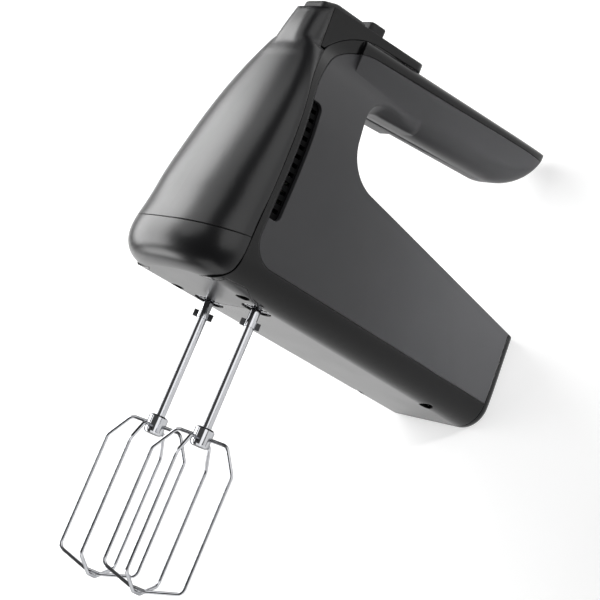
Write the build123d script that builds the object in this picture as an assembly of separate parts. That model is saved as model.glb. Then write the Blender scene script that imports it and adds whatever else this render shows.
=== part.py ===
from build123d import *
import math
import os

# Hand mixer with two wire beaters, a worm drive and a push-out ejector.
# Every piece is drawn in the mixer's own axes: x to the rear, y to the user's right, z up from the base.
# The beater axes stand at x = 0. The last step stands the finished mixer on its heel, nose up.

# Fits
SEAM = 0.3
RUNNING_FIT = 0.05
FREE_FIT = 0.4

# Casing
WALL = 2.4
HALF_WIDTH_FRONT = 41.5
HALF_WIDTH_REAR = 38.0
BASE_EDGE_RADIUS = 14.0
FRONT_STATION = -48.0
HEEL_X = 157.0
HEEL_SEAM_X = 150.5
HEEL_EDGE_RADIUS = 5.5
HEEL_TOP_RADIUS = 5.5
# Each side draws in from the base edge to the shoulder, first evenly and then with a curl
SHOULDER_Z = 126.0
SIDE_LEAN = 6.3
SIDE_CURL = 14.7
SIDE_LEVELS = (37.0, 60.0, 97.0, 115.0, 126.0, 134.0)
# Top of the column: height, and how far the side has drawn in there
PROFILE_TOP = (160.0, 27.5)
PROFILE_TOP_LEAN = 0.08
# Height at x = 0, and rise per millimetre to the rear
HANDLE_TOP = (151.3, 0.063)
STRIP_LINE = (143.5, 0.083)
HANDLE_UNDER = (118.5, 0.095)
BODY_SLOPE = (82.0, -0.165)
DECK_LINE = (156.4, 0.053)

# Finger gap
CROOK_X = 15.5
CROOK_LOW_RADIUS = 23.0
CROOK_HIGH_RADIUS = 15.0
FLARE_X = 6.5
FLARE_LOW_RADIUS = 22.0
FLARE_HIGH_RADIUS = 40.0
FLARE_INNER_HALF = 13.0
FLARE_OUTER_HALF = 38.0
FLARE_CROWN = 2.0
WAIST_X = 55.0
WAIST_RADIUS = 60.0
WAIST_LOW_Z = 104.0

# Handle
HANDLE_ROOT_X = 2.0
HANDLE_END_X = 149.5
HANDLE_HALF_WIDTH = 15.3
HANDLE_TOP_RADIUS = 5.0
HANDLE_UNDER_RADIUS = 11.0
HANDLE_SWEEP_LENGTH = 31.0
HANDLE_SWEEP_RISE = 34.0
HANDLE_SWEEP_NARROWING = 7.0
HANDLE_SWEEP_SHARE = 0.94

# Side panel and the strip in front of it
PANEL_LOW_Z = 15.0
PANEL_FRONT_LOW = (-31.5, 28.0)
PANEL_FRONT_HIGH = (-26.7, 105.0)
PANEL_LOW_RADIUS = 13.0
PANEL_HIGH_RADIUS = 44.0
STRIP_WIDTH = 4.0
STRIP_HIGH_RADIUS = 48.0
VENT_LOW_Z = 37.0
VENT_HIGH_Z = 102.0
VENT_WIDTH = 7.0
VENT_SCREEN = 1.6
VENT_SLOT = 2.2
VENT_SLOT_STEP = 5.0
VENT_SLOT_SHARE = 0.7

# Nose
NOSE_FRONT = -60.0
NOSE_LEAN = 24.0
NOSE_LEAN_POWER = 1.29
NOSE_LEVELS = (26.0, 44.0, 64.0, 84.0, 104.0, 120.0, 134.0)
NOSE_FULLNESS = 2.6
NOSE_SIDE_X = -28.0
NOSE_REAR_X = 8.0
NOSE_CORNER_RADIUS = 11.0
ROOF_Z = 133.0
ROOF_HALF_WIDTH = 16.9
ROOF_LEAN = 0.56
ROOF_RADIUS = 10.0
SPLIT_Z = 25.0
SPLIT_RISE = 0.16
# Seam of the nose cap across the base, from its corner to the beater hole
CAP_SEAM = ((-43.5, 16.0), (-41.0, 20.5), (-37.0, 25.0), (-36.0, 34.5), (-23.0, 35.5), (-9.0, 29.0))
CAP_SEAM_REACH = 9.0

# Control tower and its buttons
# Height, front and half-width of the tower, which spreads into the fairing at its foot
TOWER_FORM = (
    (122.0, -34.6, 19.0),
    (128.0, -35.0, 15.8),
    (135.0, -34.6, 14.2),
    (146.0, -32.6, 13.2),
    (160.0, -30.0, 12.8),
)
TOWER_PARTING_X = -23.6
TOWER_CORNER_RADIUS = 9.0
TOWER_BROW_X = -22.0
TOWER_BROW_FRONT = -36.0
TOWER_BROW_FALL = 6.0
DECK_END_X = 45.4
EJECT_FRONT_X = -27.5
EJECT_REAR_X = 2.7
EJECT_HALF_WIDTH = 8.8
EJECT_PROUD = 4.6
EJECT_REAR_DROP = 1.0
EJECT_REAR_RADIUS = 1.5
EJECT_CROWN_SHARE = 0.3
EJECT_CROWN_RADIUS = 12.0
EJECT_FRONT_RADIUS = 2.0
EJECT_CORNER_RADIUS = 3.0
EJECT_TRAVEL = 5.0
KNOB_FRONT_X = 6.2
KNOB_LENGTH = 10.8
KNOB_HALF_WIDTH = 7.0
KNOB_PROUD = 7.0
KNOB_TRAVEL = 15.0
KNOB_NECK = 4.0
KNOB_CORNER_RADIUS = 2.0
KNOB_EDGE_RADIUS = 1.0
TURBO_FRONT_X = 33.4
TURBO_REAR_X = 42.0
TURBO_HALF_WIDTH = 6.5
TURBO_PROUD = 1.3
TURBO_CORNER_RADIUS = 1.0
TURBO_FLANGE = 1.0
TURBO_TRAVEL = 1.5

# Beaters
BEATER_SPACING = 38.4
BEATER_TURN = 30.0
SHAFT_DIAMETER = 5.2
SHAFT_TOP_Z = 31.0
SEAT_TRAVEL = 9.0
EAR_Z = -7.8
EAR_SPAN = 10.0
EAR_THICKNESS = 1.6
EAR_HEIGHT = 3.4
COLLAR_DIAMETER = 6.0
HUB_DIAMETER = 9.8
HUB_TOP_Z = -63.0
HUB_LOW_Z = -72.5
WIRE_DIAMETER = 1.8
CAGE_RADIUS = 22.0
CAGE_SHOULDER_RADIUS = 13.7
CAGE_SHOULDER_Z = -69.5
CAGE_WIDE_Z = -80.4
CAGE_NARROW_Z = -140.5
CAGE_TIP_RADIUS = 4.5
CAGE_LOW_Z = -147.6
CAGE_BEND_RADIUS = 4.0

# Worm drive
WORM_Z = 36.0
WORM_PITCH_RADIUS = 4.5
WORM_STARTS = 2
WORM_LENGTH = 26.0
WHEEL_TEETH = 30
WHEEL_THICKNESS = 9.0
TOOTH_ADDENDUM = 0.85
TOOTH_DEDENDUM = 1.15
TOOTH_BACKLASH = 0.45
TOOTH_FLANK = 20.0
WHEEL_WEB = 4.0
WHEEL_RIM = 3.0
WHEEL_HUB_DIAMETER = 15.0

# Spindles
SPINDLE_DIAMETER = 9.0
SPINDLE_MOUTH_DIAMETER = 15.0
SPINDLE_MOUTH_Z = 0.8
SPINDLE_MOUTH_HEIGHT = 6.0
SPINDLE_TOP_Z = 60.0
SPINDLE_SLOT_DEPTH = 5.0
BUSH_WALL = 2.0

# Gear frame and motor
FRAME_PLATE = 3.0
FRAME_LOW_Z = 12.0
FRAME_HIGH_Z = 54.0
FRAME_FRONT_X = -24.0
FRAME_REAR_X = 32.0
FRAME_HALF_WIDTH = 31.0
FRAME_ARM_HALF = 22.5
FRAME_ARM = 4.5
FRAME_ARM_HEIGHT = 14.0
LEG_DIAMETER = 12.0
FRONT_SCREW = (-16.3, 26.7)
REAR_SCREW = (122.0, 27.0)
SCREW_HEAD_DIAMETER = 6.6
SCREW_HEAD_HEIGHT = 2.4
SCREW_SHANK_DIAMETER = 3.2
SCREW_RECESS_DIAMETER = 7.4
SCREW_RECESS_DEPTH = 4.0
LID_SCREW_HEAD = 4.6
LID_SCREW_SHANK = 2.0
LID_SCREW_LENGTH = 12.0
MOTOR_SHAFT_DIAMETER = 6.0
MOTOR_SHAFT_REAR_X = 124.0
BEARING_LENGTH = 7.0
BEARING_WALL = 3.0
FAN_X = 37.0
FAN_LENGTH = 9.0
FAN_RADIUS = 20.5
FAN_BLADES = 9
FAN_PLATE = 1.6
FAN_VANE_LEAN = 20.0
FAN_VANE_SHORT = 2.0
STATOR_X = 56.0
STATOR_LENGTH = 32.0
STATOR_HALF_WIDTH = 29.0
STATOR_HALF_HEIGHT = 25.0
STATOR_YOKE = 7.0
STATOR_CORNER_RADIUS = 9.0
STATOR_WINDOW_RADIUS = 3.0
POLE_NECK = 16.0
POLE_SHOE = 3.2
POLE_SPREAD = 58.0
COIL_THICKNESS = 3.0
COIL_WIDTH = 6.0
ARMATURE_RADIUS = 15.0
AIR_GAP = 0.5
ARMATURE_SHORT = 1.0
ARMATURE_SLOTS = 10
SLOT_WIDTH = 3.6
SLOT_DEPTH = 7.0
WINDING_OVERHANG = 6.0
WINDING_RADIUS = 3.0
COMMUTATOR_X = 98.0
COMMUTATOR_LENGTH = 12.0
COMMUTATOR_RADIUS = 9.0
COMMUTATOR_GAP = (2.4, 0.6)
BRUSH_X = 104.0
BRUSH_SIZE = (5.0, 6.0)
BRUSH_LENGTH = 13.0
BRUSH_HOLDER_WALL = 1.0
BRUSH_HOLDER_LENGTH = 17.0
BRACKET_X = 112.0
BRACKET_PLATE = 4.0

# Controls inside the column
ROD_X = -13.0
ROD_DIAMETER = 6.0
FORK_Z = 66.0
FORK_THICKNESS = 4.0
FORK_WIDTH = 8.0
PIN_DIAMETER = 4.8
PIN_LOW_Z = 40.6
GUIDE_Z = 110.0
GUIDE_LENGTH = 14.0
GUIDE_THICKNESS = 3.0
SPRING_WIRE = 0.9
SPRING_RADIUS = 4.6
SPRING_TURNS = 6
SPRING_LENGTH = 24.0
SWITCH_LENGTH = 30.0
SWITCH_HALF_WIDTH = 8.0
SWITCH_HEIGHT = 12.0
BOARD_X = 134.0
BOARD_THICKNESS = 1.6
BOARD_HALF_WIDTH = 24.0
BOARD_HEIGHT = 36.0
# Across from, across to, depth and height of what is soldered to the board
BOARD_PARTS = ((-16.0, -4.0, 9.0, 14.0), (6.0, 18.0, 6.0, 9.0))
BOARD_PARTS_Z = 18.0
LEAD_DIAMETER = 2.4
LEAD_BEND_RADIUS = 3.6
INLET_X = 138.0
INLET_DIAMETER = 13.0
INLET_BORE = 7.2
INLET_LENGTH = 7.0
INLET_FLANGE = 1.5
INLET_FLANGE_HEIGHT = 2.0


def height(line, x):
    """Height of a sloping line of the side view at x."""
    return line[0] + line[1] * x


def between(a, b, share):
    """Value a given share of the way from a to b."""
    return a + (b - a) * share


def shoulder_share(z):
    """Share of the way from the base edge up to the shoulder."""
    return (z - BASE_EDGE_RADIUS) / (SHOULDER_Z - BASE_EDGE_RADIUS)


def draw_in(z):
    """How far each side has drawn in at height z from its widest place."""
    return SIDE_LEAN * shoulder_share(z) + SIDE_CURL * shoulder_share(z) ** 4


def side_prism(points, radii, half_width):
    """Outline of the side view, corners rounded, pulled out to both sides."""
    outline = FilletPolyline(*points, radius=radii, close=True)
    return extrude(Plane.XZ * make_face(outline), amount=half_width, both=True)


def body_section(x, inset):
    """Cross-section of the body at x, drawn in by the inset."""
    share = (x - FRONT_STATION) / (HEEL_X - FRONT_STATION)
    half = between(HALF_WIDTH_FRONT, HALF_WIDTH_REAR, share) - inset
    radius = BASE_EDGE_RADIUS - inset
    floor = Line((radius - half, inset), (half - radius, inset))
    corner = JernArc(floor @ 1, floor % 1, radius, 90)
    points = [corner @ 1] + [(half - draw_in(z), z) for z in SIDE_LEVELS]
    points.append((half - PROFILE_TOP[1], PROFILE_TOP[0]))
    side = Spline(*points, tangents=[(0, 1), (-PROFILE_TOP_LEAN, 1)])
    lid = Line(side @ 1, (-(side @ 1).X, (side @ 1).Y))
    other_side = [mirror(edge, Plane.YZ) for edge in (corner, side)]
    plane = Plane((x, 0, 0), x_dir=(0, 1, 0), z_dir=(1, 0, 0))
    return plane * make_face([floor, corner, side, lid] + other_side)


def gap_region(front_x, low_radius, high_radius, low_line, high_line, grow):
    """Finger gap in the side view, made larger all round by grow."""
    front = front_x - grow
    rear = HEEL_X + 2 * HEEL_EDGE_RADIUS
    points = [
        (rear, height(low_line, rear) - grow),
        (front, height(low_line, front) - grow),
        (front, height(high_line, front) + grow),
        (rear, height(high_line, rear) + grow),
    ]
    outline = FilletPolyline(*points, radius=[0, low_radius + grow, high_radius + grow, 0], close=True)
    return make_face(outline)


def finger_gap(grow):
    """Space for the fingers, which opens wider towards each side panel."""
    inner = gap_region(CROOK_X, CROOK_LOW_RADIUS, CROOK_HIGH_RADIUS, BODY_SLOPE, HANDLE_UNDER, grow)
    low_line = (BODY_SLOPE[0] - FLARE_CROWN, BODY_SLOPE[1])
    outer = gap_region(FLARE_X, FLARE_LOW_RADIUS, FLARE_HIGH_RADIUS, low_line, STRIP_LINE, grow)
    middle = extrude(Plane.XZ * inner, amount=FLARE_INNER_HALF, both=True)
    flare_start = Plane.XZ.offset(FLARE_INNER_HALF)
    flare_end = Plane.XZ.offset(FLARE_OUTER_HALF)
    flare = loft([flare_start * inner, flare_end * outer], ruled=True)
    return middle + flare + mirror(flare, Plane.XZ)


def waist(grow):
    """Hollows beside the root of the grip, which draw the column in to the grip's width."""
    y = HANDLE_HALF_WIDTH + WAIST_RADIUS
    return mirrored(post(WAIST_X, y, 2 * (WAIST_RADIUS + grow), WAIST_LOW_Z, PROFILE_TOP[0]))


def body_solid(inset):
    """Lower body and the column that carries the handle, without the nose."""
    rounding = HEEL_EDGE_RADIUS - inset
    straight_end = HEEL_X - HEEL_EDGE_RADIUS
    envelope = loft([body_section(x, inset) for x in (FRONT_STATION, straight_end)], ruled=True)
    sections = []
    for turn in (0, 30, 60, 90):
        x = straight_end + rounding * math.sin(math.radians(turn))
        sections.append(body_section(x, inset + rounding * (1 - math.cos(math.radians(turn)))))
    envelope += loft(sections)
    rear = HEEL_X - inset
    stub_x = CROOK_X + CROOK_HIGH_RADIUS
    side = side_prism(
        [
            (FRONT_STATION, inset),
            (rear, inset),
            (rear, height(BODY_SLOPE, HEEL_X) - inset),
            (WAIST_X, height(BODY_SLOPE, WAIST_X) - inset),
            (WAIST_X, height(STRIP_LINE, WAIST_X) - inset),
            (stub_x, height(STRIP_LINE, stub_x) - inset),
            (stub_x, height(HANDLE_TOP, stub_x) - inset),
            (FRONT_STATION, height(HANDLE_TOP, FRONT_STATION) - inset),
        ],
        [0, 0, HEEL_TOP_RADIUS - inset, 0, 0, 0, 0, 0],
        HALF_WIDTH_FRONT + WALL,
    )
    return (envelope & side) - finger_gap(inset) - waist(inset)


def handle_section(x, top, under, half, top_radius, under_radius):
    """Rounded cross-section of the grip at x."""
    outline = FilletPolyline(
        (-half, under), (half, under), (half, top), (-half, top),
        radius=[under_radius, under_radius, top_radius, top_radius],
        close=True,
    )
    return Plane((x, 0, 0), x_dir=(0, 1, 0), z_dir=(1, 0, 0)) * make_face(outline)


def grip_section(x, lift, loss, inset):
    """Section of the grip at x, with its underside lifted and its width cut by the given amounts."""
    top = height(HANDLE_TOP, x) - inset
    under = height(HANDLE_UNDER, x) + lift + inset
    half = HANDLE_HALF_WIDTH - loss - inset
    left = (top - under) / (top - under + lift)
    top_radius = left * (HANDLE_TOP_RADIUS - inset)
    under_radius = left * (HANDLE_UNDER_RADIUS - inset)
    return handle_section(x, top, under, half, top_radius, under_radius)


def handle_solid(inset):
    """Grip, drawn in by the inset, with its underside swept up to the rear end."""
    straight_end = HANDLE_END_X - HANDLE_SWEEP_LENGTH
    straight = loft([grip_section(x, 0, 0, inset) for x in (HANDLE_ROOT_X, straight_end)], ruled=True)
    sections = []
    for share in (0.0, 0.25, 0.5, 0.75, 0.9, 1.0):
        rise = 1 - math.sqrt(1 - (HANDLE_SWEEP_SHARE * share) ** 2)
        x = between(straight_end, HANDLE_END_X - inset, share)
        sections.append(grip_section(x, HANDLE_SWEEP_RISE * rise, HANDLE_SWEEP_NARROWING * rise, inset))
    return straight + loft(sections)


def nose_section(z, front, half):
    """Plan of the nose at height z: a superellipse front between straight sides."""
    side_end = NOSE_SIDE_X
    power = 2 / NOSE_FULLNESS
    points = []
    for turn in range(-90, 91, 15):
        across = abs(math.sin(math.radians(turn))) ** power
        ahead = math.cos(math.radians(turn)) ** power
        points.append((side_end + (front - side_end) * ahead, math.copysign(half * across, turn)))
    bow = Spline(*points, tangents=[(-1, 0), (1, 0)])
    rear = NOSE_REAR_X
    corners = [(side_end, half), (rear, half), (rear, -half), (side_end, -half)]
    return Plane.XY.offset(z) * make_face([bow] + list(Polyline(*corners).edges()))


def under_roof():
    """Everything under the fairing's roof, with its two long edges rounded."""
    foot = ROOF_HALF_WIDTH + ROOF_LEAN * (ROOF_Z + WALL)
    points = [(-foot, -WALL), (foot, -WALL), (ROOF_HALF_WIDTH, ROOF_Z), (-ROOF_HALF_WIDTH, ROOF_Z)]
    outline = FilletPolyline(*points, radius=[0, 0, ROOF_RADIUS, ROOF_RADIUS], close=True)
    return extrude(Plane.YZ * make_face(outline), amount=HEEL_X, both=True)


def nose_solid(inset):
    """Fairing and nose cap as one form, even on both sides, drawn in by the inset."""
    radius = BASE_EDGE_RADIUS - inset
    sections = []
    for turn in (0, 30, 60, 90):
        z = inset + radius * (1 - math.cos(math.radians(turn)))
        lost = inset + radius * (1 - math.sin(math.radians(turn)))
        sections.append(nose_section(z, NOSE_FRONT + lost, HALF_WIDTH_FRONT - lost))
    for z in NOSE_LEVELS:
        front = NOSE_FRONT + NOSE_LEAN * shoulder_share(z) ** NOSE_LEAN_POWER
        sections.append(nose_section(z, front + inset, HALF_WIDTH_FRONT - draw_in(z) - inset))
    left_side = block((2 * NOSE_FRONT, -HEEL_X, -WALL), (HEEL_X, 0, HEEL_X))
    return mirrored(loft(sections) & left_side)


def panel_front_x(z):
    """Front edge of the side panel at height z."""
    (low_x, low_z), (high_x, high_z) = PANEL_FRONT_LOW, PANEL_FRONT_HIGH
    return low_x + (high_x - low_x) * (z - low_z) / (high_z - low_z)


def front_corner(line, ahead):
    """Where the panel's front edge, moved ahead, meets a sloping line."""
    lean = (PANEL_FRONT_HIGH[0] - PANEL_FRONT_LOW[0]) / (PANEL_FRONT_HIGH[1] - PANEL_FRONT_LOW[1])
    start = panel_front_x(0) - ahead
    x = (start + lean * line[0]) / (1 - lean * line[1])
    return x, height(line, x)


def panel_prism(grow):
    """Everything that belongs to the side panels and the grip, made larger all round by grow."""
    low = PANEL_LOW_Z - grow
    strip = (STRIP_LINE[0] + grow, STRIP_LINE[1])
    rear = HEEL_SEAM_X + grow
    points = [(panel_front_x(low) - grow, low), (rear, low), (rear, height(strip, rear))]
    points.append(front_corner(strip, grow))
    radii = [PANEL_LOW_RADIUS + grow, 0, 0, PANEL_HIGH_RADIUS + grow]
    return side_prism(points, radii, HALF_WIDTH_FRONT + WALL)


def front_prism(grow):
    """Everything that belongs to the front covers, made larger all round by grow."""
    ahead = STRIP_WIDTH - grow
    top = (HANDLE_TOP[0] - grow, HANDLE_TOP[1])
    far = NOSE_FRONT - BASE_EDGE_RADIUS
    roof = PROFILE_TOP[0] + BASE_EDGE_RADIUS
    rear = DECK_END_X + BASE_EDGE_RADIUS
    low = -WALL
    points = [
        (far, low),
        (panel_front_x(low) - ahead, low),
        front_corner(top, ahead),
        (rear, height(top, rear)),
        (rear, roof),
        (far, roof),
    ]
    radii = [0, NOSE_CORNER_RADIUS + grow, STRIP_HIGH_RADIUS - grow, 0, 0, 0]
    return side_prism(points, radii, HALF_WIDTH_FRONT + WALL)


def tower_solid(inset):
    """Control tower from the fairing's roof to the deck, drawn in by the inset."""
    sections = []
    front_radius = TOWER_CORNER_RADIUS - inset
    rear_radius = HANDLE_TOP_RADIUS - inset
    for z, front, half in TOWER_FORM:
        half -= inset
        rear = DECK_END_X - inset
        outline = FilletPolyline(
            (front + inset, -half), (rear, -half), (rear, half), (front + inset, half),
            radius=[front_radius, rear_radius, rear_radius, front_radius],
            close=True,
        )
        sections.append(Plane.XY.offset(z) * make_face(outline))
    deck = (DECK_LINE[0] - inset, DECK_LINE[1])
    low = TOWER_FORM[0][0] - WALL
    brow_z = height(deck, TOWER_BROW_X) - TOWER_BROW_FALL
    below_deck = side_prism(
        [
            (2 * NOSE_FRONT, low),
            (2 * DECK_END_X, low),
            (2 * DECK_END_X, height(deck, 2 * DECK_END_X)),
            (TOWER_BROW_X, height(deck, TOWER_BROW_X)),
            (TOWER_BROW_FRONT, brow_z),
            (2 * NOSE_FRONT, brow_z),
        ],
        0,
        HALF_WIDTH_FRONT,
    )
    return loft(sections) & below_deck


def half_space(x_low, x_high):
    """Slab between two stations along the mixer."""
    size = 3 * PROFILE_TOP[0]
    return Pos((x_low + x_high) / 2, 0, 0) * Box(x_high - x_low, size, size)


def block(low, high):
    """Box between two opposite corners."""
    size = [b - a for a, b in zip(low, high)]
    middle = [(a + b) / 2 for a, b in zip(low, high)]
    return Pos(*middle) * Box(*size)


def post(x, y, diameter, low, high):
    """Upright round bar."""
    return Pos(x, y, low) * Cylinder(diameter / 2, high - low, align=(Align.CENTER, Align.CENTER, Align.MIN))


def bar(diameter, x_low, x_high):
    """Round bar on the motor's axis."""
    plane = Plane((x_low, 0, WORM_Z), x_dir=(0, 1, 0), z_dir=(1, 0, 0))
    return plane * Cylinder(diameter / 2, x_high - x_low, align=(Align.CENTER, Align.CENTER, Align.MIN))


def mirrored(shape):
    """A shape together with its mirror image across the middle plane."""
    return shape + mirror(shape, Plane.XZ)


def below_split(gap):
    """Everything under the split between fairing and nose cap, less the gap."""
    far_x = NOSE_FRONT - BASE_EDGE_RADIUS
    points = [(far_x, -WALL), (NOSE_REAR_X, -WALL)]
    for x in (NOSE_REAR_X, far_x):
        points.append((x, SPLIT_Z + SPLIT_RISE * (x - PANEL_FRONT_LOW[0]) - gap))
    outline = Polyline(*points, close=True)
    return extrude(Plane.XZ * make_face(outline), amount=HALF_WIDTH_FRONT + WALL, both=True)


def cap_floor(gap):
    """Reach of the nose cap's floor, which runs back to the beater holes, less the gap."""
    points = list(CAP_SEAM) + [(0, BEATER_SPACING / 2)]
    points += [(x, -y) for x, y in reversed(points)]
    outline = offset(make_face(Polyline(*points, close=True)), amount=-gap, kind=Kind.INTERSECTION)
    return extrude(outline, amount=CAP_SEAM_REACH)


def screw_places():
    """Axes of the screws in the base."""
    return [(x, y * side) for x, y in (FRONT_SCREW, REAR_SCREW) for side in (-1, 1)]


def vent_region(grow):
    """Air scoop beside the strip, through both side panels."""
    low, high = VENT_LOW_Z - grow, VENT_HIGH_Z + grow
    front, rear = SEAM - grow, VENT_WIDTH + grow
    points = [
        (panel_front_x(low) + front, low),
        (panel_front_x(low) + rear, low),
        (panel_front_x(high) + rear, high),
        (panel_front_x(high) + front, high),
    ]
    return side_prism(points, [0, VENT_WIDTH / 2, VENT_WIDTH / 2, 0], HALF_WIDTH_FRONT + WALL)


def deck_block(x_low, x_high, half, low, high):
    """Block that follows the slope of the deck; low and high are heights above the deck."""
    points = [(x_low, height(DECK_LINE, x_low) + low), (x_high, height(DECK_LINE, x_high) + low)]
    points += [(x_high, height(DECK_LINE, x_high) + high), (x_low, height(DECK_LINE, x_low) + high)]
    return extrude(Plane.XZ * make_face(Polyline(*points, close=True)), amount=half, both=True)


def casing_pieces():
    """Shells of the casing, cut from shared outer and inner forms along the visible seams."""
    shell = body_solid(0) + handle_solid(0) - body_solid(WALL) - handle_solid(WALL)
    cavity = body_solid(WALL + SEAM / 2)
    room = cavity + handle_solid(WALL + SEAM / 2)
    tower = tower_solid(0)
    tower_room = tower_solid(WALL)
    front = front_prism(-SEAM / 2)
    nose_room = nose_solid(WALL) & block((NOSE_FRONT, -HEEL_X, 0), (HEEL_X, HEEL_X, ROOF_Z - WALL))
    nose_shell = (nose_solid(0) & under_roof() & front) - nose_room

    holes = []
    mouth_hole = SPINDLE_MOUTH_DIAMETER + 2 * FREE_FIT
    for side in (-1, 1):
        holes.append(post(0, side * BEATER_SPACING / 2, mouth_hole, -WALL, 2 * WALL))
    for x, y in screw_places():
        holes.append(post(x, y, SCREW_RECESS_DIAMETER, -WALL, 2 * WALL))
    button_hole = deck_block(
        EJECT_FRONT_X - FREE_FIT, EJECT_REAR_X + FREE_FIT, EJECT_HALF_WIDTH + FREE_FIT, -4 * WALL, WALL,
    )

    pieces = {}
    pieces["nose_cap"] = (nose_shell & below_split(SEAM / 2)) + (shell & cap_floor(SEAM / 2)) - holes
    brow = tower & half_space(2 * NOSE_FRONT, TOWER_PARTING_X - SEAM / 2) & front
    pieces["front_fairing"] = nose_shell - below_split(-SEAM / 2) + brow - tower_room - button_hole

    deck = (tower - tower_room) & half_space(TOWER_PARTING_X + SEAM / 2, HEEL_X) & front
    deck -= block((NOSE_FRONT, -HALF_WIDTH_FRONT, 0), (HEEL_X, HALF_WIDTH_FRONT, ROOF_Z + SEAM / 2))
    knob_x = KNOB_FRONT_X + KNOB_LENGTH / 2
    knob_slot = deck_block(
        knob_x - KNOB_NECK - FREE_FIT, knob_x + KNOB_NECK + KNOB_TRAVEL + FREE_FIT, KNOB_NECK / 2 + FREE_FIT,
        -2 * WALL, WALL,
    )
    turbo_hole = deck_block(
        TURBO_FRONT_X - FREE_FIT, TURBO_REAR_X + FREE_FIT, TURBO_HALF_WIDTH + FREE_FIT, -2 * WALL, WALL,
    )
    pieces["control_housing"] = deck - button_hole - knob_slot - turbo_hole

    rear_cut = half_space(HEEL_SEAM_X - SEAM / 2, 2 * HEEL_X)
    chassis = shell - panel_prism(SEAM / 2) - front_prism(SEAM / 2) - cap_floor(-SEAM / 2) - rear_cut - holes
    deck_room = TOWER_FORM[-1][2] - WALL
    hatch_rear = TURBO_REAR_X + 2 * FREE_FIT
    hatch = block((NOSE_FRONT, -deck_room, TOWER_FORM[0][0]), (hatch_rear, deck_room, PROFILE_TOP[0]))
    pieces["chassis_shell"] = chassis - hatch
    pieces["heel_cover"] = shell & half_space(HEEL_SEAM_X + SEAM / 2, 2 * HEEL_X)

    slope = math.degrees(math.atan(BODY_SLOPE[1]))
    inlet_place = Pos(INLET_X, 0, height(BODY_SLOPE, INLET_X)) * Rot(0, -slope, 0)
    inlet_hole = inlet_place * Cylinder(INLET_DIAMETER / 2, 2 * INLET_LENGTH)
    flank = (shell & panel_prism(-SEAM / 2)) - vent_region(0) - inlet_hole
    pieces["left_side_shell"] = flank & block((-HEEL_X, -HEEL_X, 0), (HEEL_X, -SEAM / 2, HEEL_X))
    pieces["right_side_shell"] = flank & block((-HEEL_X, SEAM / 2, 0), (HEEL_X, HEEL_X, HEEL_X))
    flange = Cylinder(INLET_DIAMETER / 2 + INLET_FLANGE, INLET_FLANGE_HEIGHT)
    flange = Pos(0, 0, INLET_FLANGE_HEIGHT / 2) * flange
    bush = Cylinder(INLET_DIAMETER / 2, INLET_LENGTH) + flange - Cylinder(INLET_BORE / 2, 3 * INLET_LENGTH)
    pieces["cord_inlet_bush"] = inlet_place * bush

    lining = (cavity - body_solid(WALL + VENT_SCREEN)) & vent_region(2 * VENT_SCREEN)
    slots = []
    step = VENT_LOW_Z + VENT_SLOT_STEP
    while step < VENT_HIGH_Z - VENT_SLOT_STEP / 2:
        x = panel_front_x(step) + VENT_WIDTH / 2
        slots.append(Pos(x, 0, step) * Box(VENT_WIDTH * VENT_SLOT_SHARE, 3 * HALF_WIDTH_FRONT, VENT_SLOT))
        step += VENT_SLOT_STEP
    lining = lining - slots
    pieces["left_vent_screen"] = lining & block((-HEEL_X, -HEEL_X, 0), (HEEL_X, 0, HEEL_X))
    pieces["right_vent_screen"] = lining & block((-HEEL_X, 0, 0), (HEEL_X, HEEL_X, HEEL_X))
    return pieces, cavity, room


def worm():
    """Two-start worm thread on a core, along the motor's axis."""
    pitch = 2 * math.pi * (BEATER_SPACING / 2 - WORM_PITCH_RADIUS) / WHEEL_TEETH
    lead = pitch * WORM_STARTS
    root = WORM_PITCH_RADIUS - TOOTH_DEDENDUM
    half = pitch / 4 - TOOTH_BACKLASH / 2
    slope = math.tan(math.radians(TOOTH_FLANK))
    low = half + TOOTH_DEDENDUM * slope
    high = half - TOOTH_ADDENDUM * slope
    path = Helix(lead, WORM_LENGTH - 2 * low, root)
    start = path @ 0
    profile_plane = Plane(start, x_dir=(1, 0, 0), z_dir=path % 0)
    depth = TOOTH_ADDENDUM + TOOTH_DEDENDUM
    sink = root / 3
    flank = [(-sink, low), (0, low), (depth, high)]
    profile = Polyline(*flank, *[(x, -y) for x, y in reversed(flank)], close=True)
    thread = sweep(profile_plane * make_face(profile), path=path, is_frenet=True)
    core = Pos(0, 0, -low) * Cylinder(root, WORM_LENGTH, align=(Align.CENTER, Align.CENTER, Align.MIN))
    screw = core
    for start_index in range(WORM_STARTS):
        screw = screw + Rot(0, 0, 360 / WORM_STARTS * start_index) * thread
    middle = math.floor((WORM_LENGTH / 2 - low) / lead) * lead
    along = Plane((-middle, 0, WORM_Z), x_dir=(0, 1, 0), z_dir=(1, 0, 0))
    return along * screw


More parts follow.
